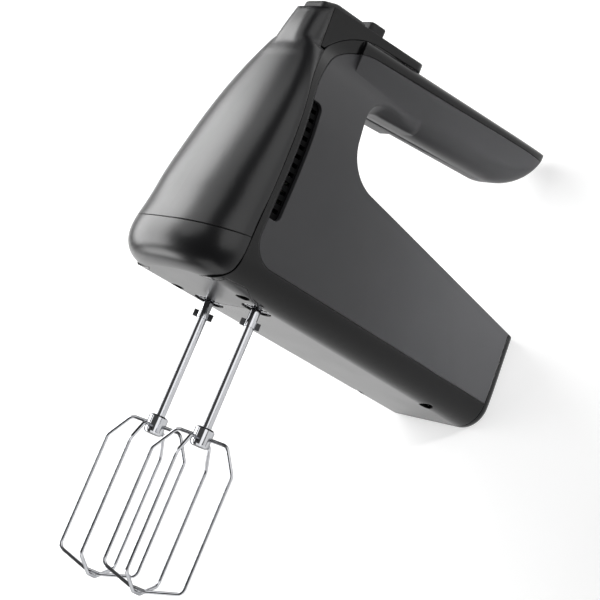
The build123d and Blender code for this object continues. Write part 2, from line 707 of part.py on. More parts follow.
def worm_wheel():
    """Wheel that meshes with the worm, drawn on the spindle's axis at worm height."""
    pitch_radius = BEATER_SPACING / 2 - WORM_PITCH_RADIUS
    pitch = 2 * math.pi * pitch_radius / WHEEL_TEETH
    lead_angle = math.atan(pitch * WORM_STARTS / (2 * math.pi * WORM_PITCH_RADIUS))
    root = pitch_radius - TOOTH_DEDENDUM
    half = pitch / 4 - TOOTH_BACKLASH / 2
    slope = math.tan(math.radians(TOOTH_FLANK))
    low = half + TOOTH_DEDENDUM * slope
    high = half - TOOTH_ADDENDUM * slope
    tip = pitch_radius + TOOTH_ADDENDUM
    sink = root - WHEEL_RIM / 2
    twist = math.degrees(WHEEL_THICKNESS / 2 * math.tan(lead_angle) / pitch_radius)
    flank = [(sink, low), (root, low), (tip, high)]
    outline = make_face(Polyline(*flank, *[(x, -y) for x, y in reversed(flank)], close=True))
    sections = []
    for side in (-1, 1):
        turn = side * twist + 180 / WHEEL_TEETH - 90
        sections.append(Pos(0, 0, WORM_Z + side * WHEEL_THICKNESS / 2) * Rot(0, 0, turn) * outline)
    tooth = loft(sections, ruled=True)
    teeth = [Rot(0, 0, 360 / WHEEL_TEETH * index) * tooth for index in range(WHEEL_TEETH)]
    low_z, high_z = WORM_Z - WHEEL_THICKNESS / 2, WORM_Z + WHEEL_THICKNESS / 2
    rim = post(0, 0, 2 * root, low_z, high_z) - post(0, 0, 2 * (root - WHEEL_RIM), low_z, high_z)
    web = post(0, 0, 2 * root - WHEEL_RIM, WORM_Z - WHEEL_WEB / 2, WORM_Z + WHEEL_WEB / 2)
    hub = post(0, 0, WHEEL_HUB_DIAMETER, low_z, high_z)
    return rim + teeth + web + hub - post(0, 0, SPINDLE_DIAMETER, low_z, high_z)


def spindle():
    """Hollow drive spindle with a slotted mouth for the beater's ears."""
    mouth_top = SPINDLE_MOUTH_Z + SPINDLE_MOUTH_HEIGHT
    shape = post(0, 0, SPINDLE_DIAMETER, SPINDLE_MOUTH_Z, SPINDLE_TOP_Z)
    shape += post(0, 0, SPINDLE_MOUTH_DIAMETER, SPINDLE_MOUTH_Z, mouth_top)
    shape -= post(0, 0, SHAFT_DIAMETER + FREE_FIT, SPINDLE_MOUTH_Z, SPINDLE_TOP_Z)
    shape -= post(0, 0, COLLAR_DIAMETER + 2 * FREE_FIT, SPINDLE_MOUTH_Z, SPINDLE_MOUTH_Z + SPINDLE_SLOT_DEPTH)
    for turn in (45, -45):
        slot = Box(EAR_SPAN + 2 * FREE_FIT, EAR_THICKNESS + 2 * FREE_FIT, 2 * SPINDLE_SLOT_DEPTH)
        shape -= Pos(0, 0, SPINDLE_MOUTH_Z) * Rot(0, 0, turn) * slot
    return shape


def wire_loop(rise, turn):
    """One bent wire of a beater cage; rise lifts its two crossings over the other wire."""
    side = [
        (SHAFT_DIAMETER / 2 + RUNNING_FIT, CAGE_SHOULDER_Z + rise),
        (CAGE_SHOULDER_RADIUS, CAGE_SHOULDER_Z + rise),
        (CAGE_RADIUS, CAGE_WIDE_Z),
        (CAGE_RADIUS, CAGE_NARROW_Z),
        (CAGE_TIP_RADIUS, CAGE_LOW_Z + rise),
    ]
    points = [(r, 0, z) for r, z in side] + [(-r, 0, z) for r, z in reversed(side)]
    path = FilletPolyline(*points, radius=CAGE_BEND_RADIUS)
    start = Plane(path @ 0, z_dir=path % 0)
    wire = sweep(start * Circle(WIRE_DIAMETER / 2), path=path)
    return Rot(0, 0, turn) * wire


def beater():
    """Wire beater on its own axis, as separate shaft, hub and two crossed loops."""
    shaft = post(0, 0, SHAFT_DIAMETER, HUB_LOW_Z, SHAFT_TOP_Z)
    shaft = chamfer(shaft.edges().group_by(Axis.Z)[-1], SHAFT_DIAMETER / 5)
    ear = Pos(0, 0, EAR_Z) * Rot(0, 0, -45) * Box(EAR_SPAN, EAR_THICKNESS, EAR_HEIGHT)
    collar = post(0, 0, COLLAR_DIAMETER, EAR_Z - EAR_HEIGHT / 2, EAR_Z + EAR_HEIGHT / 2)
    outer_loop = wire_loop(0, BEATER_TURN)
    inner_loop = wire_loop(WIRE_DIAMETER + 2 * RUNNING_FIT, BEATER_TURN + 90)
    hub = post(0, 0, HUB_DIAMETER, HUB_LOW_Z, HUB_TOP_Z)
    hub = chamfer(hub.edges().filter_by(GeomType.CIRCLE), WIRE_DIAMETER / 2)
    hub = hub - post(0, 0, SHAFT_DIAMETER, HUB_LOW_Z, HUB_TOP_Z) - outer_loop - inner_loop
    return {"shaft": shaft + ear + collar, "hub": hub, "outer_loop": outer_loop, "inner_loop": inner_loop}


def gear_frame_pieces(cavity):
    """Frame that carries the worm, the wheels and the motor, with its lid and bushes."""
    half = BEATER_SPACING / 2
    bush_diameter = SPINDLE_DIAMETER + 2 * (RUNNING_FIT + BUSH_WALL)
    boss_diameter = bush_diameter + 2 * BUSH_WALL
    bearing_diameter = MOTOR_SHAFT_DIAMETER + 2 * (RUNNING_FIT + BEARING_WALL)
    seat_diameter = bearing_diameter + 2 * BEARING_WALL
    low_top = FRAME_LOW_Z + FRAME_PLATE
    frame = block((FRAME_FRONT_X, -FRAME_HALF_WIDTH, FRAME_LOW_Z), (FRAME_REAR_X, FRAME_HALF_WIDTH, low_top))
    wall_half = seat_diameter / 2 + FRAME_PLATE
    front_wall_x = FRAME_FRONT_X + FRAME_PLATE
    rear_wall_x = FRAME_REAR_X - FRAME_PLATE
    frame += block((FRAME_FRONT_X, -wall_half, FRAME_LOW_Z), (front_wall_x, wall_half, FRAME_HIGH_Z))
    wide = FRAME_HALF_WIDTH
    frame += block((rear_wall_x, -wide, FRAME_LOW_Z), (FRAME_REAR_X, wide, FRAME_HIGH_Z))
    front_seat_end = FRAME_FRONT_X + BEARING_LENGTH + FRAME_PLATE
    rear_seat_end = FRAME_REAR_X - BEARING_LENGTH - FRAME_PLATE
    frame += bar(seat_diameter, FRAME_FRONT_X, front_seat_end)
    frame += bar(seat_diameter, rear_seat_end, FRAME_REAR_X)
    arm_low, arm_high = WORM_Z - FRAME_ARM_HEIGHT / 2, WORM_Z + FRAME_ARM_HEIGHT / 2
    arm = block((FRAME_REAR_X, FRAME_ARM_HALF, arm_low), (STATOR_X, FRAME_ARM_HALF + FRAME_ARM, arm_high))
    frame += mirrored(arm)
    leg = post(*FRONT_SCREW, LEG_DIAMETER, 0, FRAME_LOW_Z)
    frame += mirrored(leg) & cavity
    rear_foot = block((rear_wall_x, -FRAME_ARM_HALF, 0), (FRAME_REAR_X, FRAME_ARM_HALF, FRAME_LOW_Z))
    frame += rear_foot & cavity
    lid_top = FRAME_HIGH_Z + FRAME_PLATE
    lid = block((FRAME_FRONT_X, -FRAME_HALF_WIDTH, FRAME_HIGH_Z), (FRAME_REAR_X, FRAME_HALF_WIDTH, lid_top))
    low_bushes, high_bushes = [], []
    bush_low = low_top + BEARING_LENGTH
    bush_high = lid_top - BEARING_LENGTH
    bore = SPINDLE_DIAMETER + 2 * RUNNING_FIT
    for side in (-1, 1):
        y = side * half
        frame += post(0, y, boss_diameter, FRAME_LOW_Z, bush_low)
        lid += post(0, y, boss_diameter, bush_high, lid_top)
        spindle_bore = post(0, y, bore, FRAME_LOW_Z, lid_top)
        low_bushes.append(post(0, y, bush_diameter, FRAME_LOW_Z, bush_low) - spindle_bore)
        high_bushes.append(post(0, y, bush_diameter, bush_high, lid_top) - spindle_bore)
    frame -= low_bushes
    lid -= high_bushes
    for side in (-1, 1):
        frame -= post(0, side * half, SPINDLE_DIAMETER + 2 * FREE_FIT, FRAME_LOW_Z, bush_low)
        lid -= post(0, side * half, SPINDLE_DIAMETER + 2 * FREE_FIT, bush_high, lid_top)
    shaft_bore = bar(MOTOR_SHAFT_DIAMETER + 2 * RUNNING_FIT, FRAME_FRONT_X, MOTOR_SHAFT_REAR_X)
    front_bearing = bar(bearing_diameter, FRAME_FRONT_X + FRAME_PLATE, front_seat_end) - shaft_bore
    middle_bearing = bar(bearing_diameter, rear_seat_end, FRAME_REAR_X - FRAME_PLATE) - shaft_bore
    frame = frame - front_bearing - middle_bearing
    frame -= bar(MOTOR_SHAFT_DIAMETER + 2 * FREE_FIT, FRAME_FRONT_X, FRAME_REAR_X)
    lid_screws = []
    for x in (FRAME_FRONT_X + FRAME_PLATE / 2, FRAME_REAR_X - FRAME_PLATE / 2):
        for side in (-1, 1):
            y = side * seat_diameter / 2
            head = post(x, y, LID_SCREW_HEAD, lid_top, lid_top + LID_SCREW_SHANK)
            lid_screws.append(head + post(x, y, LID_SCREW_SHANK, lid_top - LID_SCREW_LENGTH, lid_top))
    frame -= lid_screws
    lid -= lid_screws
    pieces = {"gear_frame": frame, "gear_frame_lid": lid}
    pieces["front_bearing"] = front_bearing
    pieces["middle_bearing"] = middle_bearing
    pieces["lower_spindle_bushes"] = Compound(children=low_bushes)
    pieces["upper_spindle_bushes"] = Compound(children=high_bushes)
    pieces["frame_screws"] = Compound(children=lid_screws)
    return pieces


def motor_pieces(cavity):
    """Fixed and turning parts of the motor, on the worm's axis."""
    along = Plane((STATOR_X, 0, WORM_Z), x_dir=(0, 1, 0), z_dir=(1, 0, 0))
    bore = ARMATURE_RADIUS + AIR_GAP
    shoe = bore + POLE_SHOE
    outline = RectangleRounded(2 * STATOR_HALF_WIDTH, 2 * STATOR_HALF_HEIGHT, STATOR_CORNER_RADIUS)
    window_y, window_z = STATOR_HALF_WIDTH - STATOR_YOKE, STATOR_HALF_HEIGHT - STATOR_YOKE
    yoke = outline - RectangleRounded(2 * window_y, 2 * window_z, STATOR_WINDOW_RADIUS)
    fan_out = 2 * shoe * math.tan(math.radians(POLE_SPREAD))
    wedge = make_face(Polyline((0, 0), (2 * shoe, fan_out), (2 * shoe, -fan_out), close=True))
    shoes = (Circle(shoe) & (wedge + mirror(wedge, Plane.YZ)))
    neck = Rectangle(2 * window_y + STATOR_YOKE, POLE_NECK)
    laminate = yoke + shoes + neck - Circle(bore)
    pieces = {"stator_core": along * extrude(laminate, amount=STATOR_LENGTH)}

    coil_inner = (STATOR_LENGTH + 2 * SEAM, POLE_NECK + 2 * SEAM)
    coil_outer = [size + 2 * COIL_WIDTH for size in coil_inner]
    ring = RectangleRounded(*coil_outer, COIL_WIDTH) - Rectangle(*coil_inner)
    coil = extrude(ring, amount=COIL_THICKNESS)
    upright = Plane((STATOR_X + STATOR_LENGTH / 2, shoe + SEAM / 2, WORM_Z), x_dir=(1, 0, 0), z_dir=(0, 1, 0))
    coil = upright * coil
    pieces["field_coils"] = Compound(children=[coil, mirror(coil, Plane.XZ)])

    shaft = bar(MOTOR_SHAFT_DIAMETER, FRAME_FRONT_X + FRAME_PLATE, MOTOR_SHAFT_REAR_X)
    pieces["motor_shaft"] = shaft + worm()
    core_length = STATOR_LENGTH - 2 * ARMATURE_SHORT
    core_plane = along.offset(ARMATURE_SHORT)
    slot = Pos(ARMATURE_RADIUS - SLOT_DEPTH / 2, 0) * Rectangle(SLOT_DEPTH, SLOT_WIDTH)
    slots = [Rot(0, 0, 360 / ARMATURE_SLOTS * index) * slot for index in range(ARMATURE_SLOTS)]
    disc = Circle(ARMATURE_RADIUS) - slots - Circle(MOTOR_SHAFT_DIAMETER / 2)
    pieces["armature_core"] = core_plane * extrude(disc, amount=core_length)
    fill_middle = ARMATURE_RADIUS - SLOT_DEPTH / 2 - AIR_GAP
    fill = Pos(fill_middle, 0) * Rectangle(SLOT_DEPTH - 2 * AIR_GAP, SLOT_WIDTH)
    fills = [Rot(0, 0, 360 / ARMATURE_SLOTS * index) * fill for index in range(ARMATURE_SLOTS)]
    bars = [core_plane * extrude(item, amount=core_length) for item in fills]
    outer = ARMATURE_RADIUS - 2 * AIR_GAP
    inner = MOTOR_SHAFT_DIAMETER / 2 + AIR_GAP
    end = Circle(outer) - Circle(inner)
    front_end = core_plane * extrude(end, amount=-WINDING_OVERHANG)
    rear_end = core_plane.offset(core_length) * extrude(end, amount=WINDING_OVERHANG)
    front_rims = front_end.edges().filter_by(GeomType.CIRCLE).group_by(Axis.X)[0]
    rear_rims = rear_end.edges().filter_by(GeomType.CIRCLE).group_by(Axis.X)[-1]
    front_end = fillet(front_rims.sort_by(SortBy.RADIUS)[-1], WINDING_RADIUS)
    rear_end = fillet(rear_rims.sort_by(SortBy.RADIUS)[-1], WINDING_RADIUS)
    pieces["armature_windings"] = front_end + rear_end + bars

    segment = Circle(COMMUTATOR_RADIUS) - Circle(MOTOR_SHAFT_DIAMETER / 2)
    bar_gap = Pos(COMMUTATOR_RADIUS, 0) * Rectangle(*COMMUTATOR_GAP)
    for index in range(ARMATURE_SLOTS):
        segment -= Rot(0, 0, 360 / ARMATURE_SLOTS * index) * bar_gap
    com_plane = along.offset(COMMUTATOR_X - STATOR_X)
    pieces["commutator"] = com_plane * extrude(segment, amount=COMMUTATOR_LENGTH)

    fan_plane = along.offset(FAN_X - STATOR_X)
    plate = extrude(Circle(FAN_RADIUS), amount=FAN_PLATE)
    hub = extrude(Circle(MOTOR_SHAFT_DIAMETER), amount=FAN_LENGTH)
    vane_middle = (FAN_RADIUS + MOTOR_SHAFT_DIAMETER - FAN_VANE_SHORT / 2) / 2
    vane_outline = Rectangle(FAN_RADIUS - MOTOR_SHAFT_DIAMETER - FAN_VANE_SHORT, FAN_PLATE)
    vane = extrude(Pos(vane_middle, 0) * Rot(0, 0, FAN_VANE_LEAN) * vane_outline, amount=FAN_LENGTH)
    vanes = [Rot(0, 0, 360 / FAN_BLADES * index) * vane for index in range(FAN_BLADES)]
    fan = plate + hub + vanes - extrude(Circle(MOTOR_SHAFT_DIAMETER / 2), amount=FAN_LENGTH)
    pieces["cooling_fan"] = fan_plane * fan

    holder_size = [size + 2 * (RUNNING_FIT + BRUSH_HOLDER_WALL) for size in BRUSH_SIZE]
    tip_y = COMMUTATOR_RADIUS + 2 * RUNNING_FIT
    holder_y = tip_y + BRUSH_HOLDER_WALL
    holder_end = holder_y + BRUSH_HOLDER_LENGTH
    brush = block(
        (BRUSH_X - BRUSH_SIZE[0] / 2, tip_y, WORM_Z - BRUSH_SIZE[1] / 2),
        (BRUSH_X + BRUSH_SIZE[0] / 2, tip_y + BRUSH_LENGTH, WORM_Z + BRUSH_SIZE[1] / 2),
    )
    holder = block(
        (BRUSH_X - holder_size[0] / 2, holder_y, WORM_Z - holder_size[1] / 2),
        (BRUSH_X + holder_size[0] / 2, holder_end, WORM_Z + holder_size[1] / 2),
    )
    bore_half = [size / 2 + RUNNING_FIT for size in BRUSH_SIZE]
    tube = holder - block(
        (BRUSH_X - bore_half[0], 0, WORM_Z - bore_half[1]),
        (BRUSH_X + bore_half[0], holder_end - BRUSH_HOLDER_WALL, WORM_Z + bore_half[1]),
    )
    pieces["carbon_brushes"] = Compound(children=[brush, mirror(brush, Plane.XZ)])
    pieces["brush_holders"] = Compound(children=[tube, mirror(tube, Plane.XZ)])

    bearing_diameter = MOTOR_SHAFT_DIAMETER + 2 * (RUNNING_FIT + BEARING_WALL)
    seat_diameter = bearing_diameter + 2 * BEARING_WALL
    bracket_end = BRACKET_X + BRACKET_PLATE
    foot_top = FRAME_LOW_Z + FRAME_PLATE
    top_z = WORM_Z + seat_diameter / 2 + FRAME_PLATE
    arm_end = FRAME_ARM_HALF + FRAME_ARM
    bracket = block((BRACKET_X, -arm_end, FRAME_LOW_Z), (bracket_end, arm_end, top_z))
    foot_half = REAR_SCREW[1] + LEG_DIAMETER / 2
    foot_rear = REAR_SCREW[0] + LEG_DIAMETER / 2
    bracket += block((BRACKET_X, -foot_half, FRAME_LOW_Z), (foot_rear, foot_half, foot_top))
    arm_low, arm_high = WORM_Z - FRAME_ARM_HEIGHT / 2, WORM_Z + FRAME_ARM_HEIGHT / 2
    arm = block((STATOR_X + STATOR_LENGTH, FRAME_ARM_HALF, arm_low), (BRACKET_X, arm_end, arm_high))
    leg = post(*REAR_SCREW, LEG_DIAMETER, 0, FRAME_LOW_Z)
    bracket += mirrored(arm)
    bracket += mirrored(leg) & cavity
    bearing_end = bracket_end + BEARING_LENGTH
    bracket += bar(seat_diameter, BRACKET_X, bearing_end)
    shaft_bore = bar(MOTOR_SHAFT_DIAMETER + 2 * RUNNING_FIT, FRAME_FRONT_X, 2 * MOTOR_SHAFT_REAR_X)
    bearing = bar(bearing_diameter, bracket_end, bearing_end) - shaft_bore
    bracket = bracket - bar(bearing_diameter, bracket_end, bearing_end)
    bracket -= bar(MOTOR_SHAFT_DIAMETER + 2 * FREE_FIT, BRACKET_X, bearing_end)
    bracket -= mirrored(holder)
    pieces["motor_bracket"] = bracket
    pieces["rear_bearing"] = bearing
    return pieces


def base_screws(pieces):
    """Screws up through the base; their recesses and holes are cut into the pieces they pass."""
    screws, cuts = [], []
    head_top = WALL + SCREW_RECESS_DEPTH
    for x, y in screw_places():
        head_low = head_top - SCREW_HEAD_HEIGHT
        head = post(x, y, SCREW_HEAD_DIAMETER, head_low, head_top)
        drive = post(x, y, SCREW_SHANK_DIAMETER, head_low, head_low + SCREW_HEAD_HEIGHT / 2)
        shank = post(x, y, SCREW_SHANK_DIAMETER, head_top, FRAME_LOW_Z + FRAME_PLATE)
        screws.append(head + shank - drive)
        cuts.append(post(x, y, SCREW_RECESS_DIAMETER, 0, head_top) + shank)
    for name in ("gear_frame", "motor_bracket"):
        pieces[name] = pieces[name] - cuts
    pieces["housing_screws"] = Compound(children=screws)


def control_pieces(room):
    """Buttons, ejector, switch, board and leads."""
    pieces = {}
    brow_z = height(DECK_LINE, EJECT_REAR_X)
    under = brow_z - WALL - EJECT_TRAVEL
    crown = height(DECK_LINE, EJECT_FRONT_X) + EJECT_PROUD
    front_z = crown - TOWER_BROW_FALL / 2
    outline = FilletPolyline(
        (EJECT_FRONT_X, under),
        (EJECT_REAR_X, under),
        (EJECT_REAR_X, brow_z + EJECT_PROUD - EJECT_REAR_DROP),
        (between(EJECT_FRONT_X, EJECT_REAR_X, EJECT_CROWN_SHARE), crown),
        (EJECT_FRONT_X, front_z),
        radius=[0, 0, EJECT_REAR_RADIUS, EJECT_CROWN_RADIUS, EJECT_FRONT_RADIUS],
        close=True,
    )
    button = extrude(Plane.XZ * make_face(outline), amount=EJECT_HALF_WIDTH, both=True)
    pieces["eject_button"] = fillet(button.edges().filter_by(Axis.Z), EJECT_CORNER_RADIUS)

    half = BEATER_SPACING / 2
    fork = block((-FORK_WIDTH / 2, -half, FORK_Z), (FORK_WIDTH / 2, half, FORK_Z + FORK_THICKNESS))
    for side in (-1, 1):
        fork += post(0, side * half, FORK_WIDTH, FORK_Z, FORK_Z + FORK_THICKNESS)
        fork += post(0, side * half, PIN_DIAMETER, PIN_LOW_Z, FORK_Z)
    fork += block((ROD_X, -FORK_WIDTH / 2, FORK_Z), (0, FORK_WIDTH / 2, FORK_Z + FORK_THICKNESS))
    fork += post(ROD_X, 0, FORK_WIDTH, FORK_Z, FORK_Z + FORK_THICKNESS)
    fork += post(ROD_X, 0, ROD_DIAMETER, FORK_Z, under)
    guide_top = GUIDE_Z + GUIDE_THICKNESS
    collar_low = guide_top + SPRING_LENGTH
    fork += post(ROD_X, 0, 2 * SPRING_RADIUS + 2 * SPRING_WIRE, collar_low, collar_low + GUIDE_THICKNESS)
    pieces["ejector_fork"] = fork

    guide_front, guide_rear = ROD_X - GUIDE_LENGTH / 2, ROD_X + GUIDE_LENGTH / 2
    plate = block((guide_front, -HEEL_X, GUIDE_Z), (guide_rear, HEEL_X, guide_top)) & room
    sleeve = post(ROD_X, 0, ROD_DIAMETER + 2 * GUIDE_THICKNESS, GUIDE_Z - GUIDE_LENGTH / 2, guide_top)
    pieces["ejector_guide"] = plate + sleeve - post(ROD_X, 0, ROD_DIAMETER + 2 * RUNNING_FIT, 0, guide_top)
    pitch = (SPRING_LENGTH - SPRING_WIRE) / SPRING_TURNS
    path = Helix(pitch, SPRING_LENGTH - SPRING_WIRE, SPRING_RADIUS)
    coil = sweep(Plane(path @ 0, z_dir=path % 0) * Circle(SPRING_WIRE / 2), path=path, is_frenet=True)
    pieces["ejector_spring"] = Pos(ROD_X, 0, guide_top + SPRING_WIRE / 2) * coil

    knob_rear = KNOB_FRONT_X + KNOB_LENGTH
    knob = deck_block(KNOB_FRONT_X, knob_rear, KNOB_HALF_WIDTH, FREE_FIT, KNOB_PROUD)
    knob = fillet(knob.edges().filter_by(Axis.Z), KNOB_CORNER_RADIUS)
    knob = fillet(knob.faces().sort_by(Axis.Z)[-1].edges(), KNOB_EDGE_RADIUS)
    middle = KNOB_FRONT_X + KNOB_LENGTH / 2
    neck_half = KNOB_NECK / 2
    neck_front, neck_rear = middle - KNOB_NECK, middle + KNOB_NECK
    shoe_top = -WALL - FREE_FIT
    neck = deck_block(neck_front, neck_rear, neck_half, shoe_top - FREE_FIT - KNOB_NECK, KNOB_NECK)
    shoe = deck_block(neck_front, neck_rear, KNOB_NECK, shoe_top - neck_half, shoe_top)
    pieces["speed_slider"] = knob + neck + shoe

    pad = deck_block(TURBO_FRONT_X, TURBO_REAR_X, TURBO_HALF_WIDTH, -WALL - TURBO_TRAVEL, TURBO_PROUD)
    pad = fillet(pad.edges().filter_by(Axis.Z), TURBO_CORNER_RADIUS)
    flange = deck_block(
        TURBO_FRONT_X - TURBO_FLANGE, TURBO_REAR_X - TURBO_FLANGE, TURBO_HALF_WIDTH + TURBO_FLANGE,
        shoe_top - TURBO_FLANGE, shoe_top,
    )
    pieces["turbo_button"] = pad + flange

    switch_front = KNOB_FRONT_X + WALL
    switch_top = height(DECK_LINE, switch_front) - 2 * WALL - KNOB_NECK
    switch_rear = switch_front + SWITCH_LENGTH
    switch_low = switch_top - SWITCH_HEIGHT
    wide = SWITCH_HALF_WIDTH
    switch = block((switch_front, -wide, switch_low), (switch_rear, wide, switch_top))
    carrier_low = switch_low - FRAME_PLATE
    carrier = block((switch_front, -HEEL_X, carrier_low), (switch_rear, HEEL_X, switch_low)) & room
    pieces["speed_switch"] = switch + carrier

    board_low = WALL + RUNNING_FIT
    board_rear = BOARD_X + BOARD_THICKNESS
    wide = BOARD_HALF_WIDTH
    board = block((BOARD_X, -wide, board_low), (board_rear, wide, board_low + BOARD_HEIGHT))
    for y_low, y_high, deep, tall in BOARD_PARTS:
        board += block((BOARD_X - deep, y_low, BOARD_PARTS_Z), (BOARD_X, y_high, BOARD_PARTS_Z + tall))
    pieces["control_board"] = board

    holder_end = COMMUTATOR_RADIUS + 2 * RUNNING_FIT + BRUSH_HOLDER_WALL + BRUSH_HOLDER_LENGTH
    drop_x = switch_front + LEAD_DIAMETER
    over_z = WORM_Z + STATOR_HALF_HEIGHT + LEAD_DIAMETER
    out_y = holder_end + 2 * LEAD_DIAMETER
    points = [
        (drop_x, 2 * LEAD_DIAMETER, carrier_low),
        (drop_x, 4 * LEAD_DIAMETER, FORK_Z + 2 * LEAD_DIAMETER),
        (STATOR_X + STATOR_LENGTH, 4 * LEAD_DIAMETER, over_z),
        (BRUSH_X, out_y, WORM_Z + FRAME_ARM_HEIGHT),
        (BRUSH_X, out_y, WORM_Z),
        (BRUSH_X, holder_end, WORM_Z),
    ]
    path = FilletPolyline(*points, radius=LEAD_BEND_RADIUS)
    lead = sweep(Plane(path @ 0, z_dir=path % 0) * Circle(LEAD_DIAMETER / 2), path=path)
    pieces["motor_leads"] = Compound(children=[lead, mirror(lead, Plane.XZ)])
    return pieces


def assembled():
    """Every piece by name, in the mixer's own axes."""
    pieces, cavity, room = casing_pieces()
    pieces.update(gear_frame_pieces(cavity))
    pieces.update(motor_pieces(cavity))
    pieces.update(control_pieces(room))
    base_screws(pieces)
    wheel, drive, whisk = worm_wheel(), spindle(), beater()
    for name, side in (("left", -1), ("right", 1)):
        place = Pos(0, side * BEATER_SPACING / 2, 0)
        pieces[name + "_spindle"] = place * drive
        pieces[name + "_worm_wheel"] = place * wheel
        for piece, shape in whisk.items():
            pieces[name + "_beater_" + piece] = place * shape
    return pieces


# The mixer stands on the flat of its heel, which is centred on the origin.
HEEL_MIDDLE_Z = (HEEL_EDGE_RADIUS + height(BODY_SLOPE, HEEL_X) - HEEL_TOP_RADIUS) / 2
STAND = Pos(-HEEL_MIDDLE_Z, 0, HEEL_X) * Rot(0, 90, 0)

os.makedirs("parts", exist_ok=True)
for node, shape in assembled().items():
    solids = [STAND * solid for solid in shape.solids()]
    export_step(solids[0] if len(solids) == 1 else Compound(children=solids), "parts/" + node + ".step")
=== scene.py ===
import math

import bpy
from bpy.props import FloatProperty, FloatVectorProperty, PointerProperty, StringProperty
from mathutils import Euler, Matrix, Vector


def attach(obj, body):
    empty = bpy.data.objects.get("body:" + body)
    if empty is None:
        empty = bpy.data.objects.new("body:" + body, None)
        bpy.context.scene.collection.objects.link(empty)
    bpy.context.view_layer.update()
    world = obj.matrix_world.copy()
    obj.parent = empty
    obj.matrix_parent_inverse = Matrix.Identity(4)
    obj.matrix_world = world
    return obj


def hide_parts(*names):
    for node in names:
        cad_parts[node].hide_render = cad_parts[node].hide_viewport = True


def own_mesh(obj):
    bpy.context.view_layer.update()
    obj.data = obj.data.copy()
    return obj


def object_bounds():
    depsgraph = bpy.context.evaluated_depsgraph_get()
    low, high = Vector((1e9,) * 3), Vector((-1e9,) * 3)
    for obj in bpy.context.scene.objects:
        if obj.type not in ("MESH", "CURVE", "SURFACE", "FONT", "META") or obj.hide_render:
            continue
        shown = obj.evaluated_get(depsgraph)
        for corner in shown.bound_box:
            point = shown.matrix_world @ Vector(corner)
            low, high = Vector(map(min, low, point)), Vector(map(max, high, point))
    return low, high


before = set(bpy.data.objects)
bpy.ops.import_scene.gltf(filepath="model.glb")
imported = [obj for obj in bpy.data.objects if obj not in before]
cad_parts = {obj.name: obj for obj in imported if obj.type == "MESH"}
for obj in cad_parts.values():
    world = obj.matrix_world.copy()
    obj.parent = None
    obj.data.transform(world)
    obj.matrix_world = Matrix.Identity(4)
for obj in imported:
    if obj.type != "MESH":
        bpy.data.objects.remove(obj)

bl_info = {
    "name": "Hand mixer looks",
    "version": (1, 0, 0),
    "blender": (4, 5, 0),
    "location": "View3D > Sidebar > Mixer",
    "description": "Finishes, light and camera for the hand mixer",
    "category": "Object",
}

MM = 0.001
CAD_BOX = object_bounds()

# Width of the photograph in pixels, and of the camera's sensor in mm
PHOTO_PIXELS = 600.0
SENSOR_WIDTH = 36.0
NEAREST_SEEN = 0.01

# Clear moulded ABS, and what is left of its reflection on black plastic from textured and deep matt tools
ABS_IOR = 1.5
TEXTURED_IOR = 1.35
MATT_IOR = 1.2
PLAIN_IOR = 1.45
# Faint clouds that the flow of the melt leaves, and how much duller or shinier they are
FLOW_CLOUD_MM = 28.0
FLOW_CLOUD_DETAIL = 2.0
FLOW_SHINIER = 0.03
FLOW_DULLER = 0.04
# Moulding grain, and the rounding of edges
GRAIN_DETAIL = 3.0
GRAIN_STRENGTH = 0.6
EDGE_SAMPLES = 8
# Where the handle runs into the body, and the tower into the fairing: centre, reach and blend radius
HANDLE_ROOT = ((0.095, 0.0, 0.103), 0.05, 0.006)
TOWER_FOOT = ((0.105, 0.0, 0.186), 0.04, 0.005)

# Streaks in metal, and the shares of the roughness between their brightest and dullest
STREAK_DETAIL = 4.0
STREAK_BRIGHT = 0.7
STREAK_DULL = 1.3
EVEN_REFLECTION = "#ffffff"
# Reflection of chromium plate where the wire curves away from the eye
CHROME_RIM = "#5a5b5e"
# Waver of stacked sheets and wound turns, and the depth of the grooves between them
BAND_WAVER = 0.4
BAND_DEPTH_MM = 0.1

FLOOR_SIZE = 8.0
# What the floor adds to its lit paper, so that it shows white
FLOOR_GLOW = 0.5
WHITE = (1.0, 1.0, 1.0, 1.0)
# Fill light from all round, low enough to leave dark streaks between the lamps in polished metal
AIR_LEVEL = 0.08
# The light on the heel falls this far towards the deck from the middle of the box, on the near panel
HEEL_LIT_X = 0.06
# Soft boxes: name, place in m, aim, width and height in m, spread in degrees and power in W
LAMPS = (
    ("behind_nose", (0.1, 1.0, 0.72), "middle", (1.3, 0.7), 180.0, 17.0),
    ("behind_cap", (-0.75, 0.85, 0.42), "middle", (0.45, 0.4), 180.0, 3.0),
    ("overhead", (0.5, 0.4, 1.2), "middle", (0.9, 0.9), 180.0, 4.0),
    ("beside_panel", (0.6, -1.0, 0.6), "middle", (1.4, 1.0), 180.0, 6.0),
    ("facing_base", (-0.95, -0.1, 0.3), "middle", (0.6, 0.6), 180.0, 1.2),
    ("on_heel", (0.3, -0.7, 0.2), "heel", (0.1, 0.1), 20.0, 0.09),
)

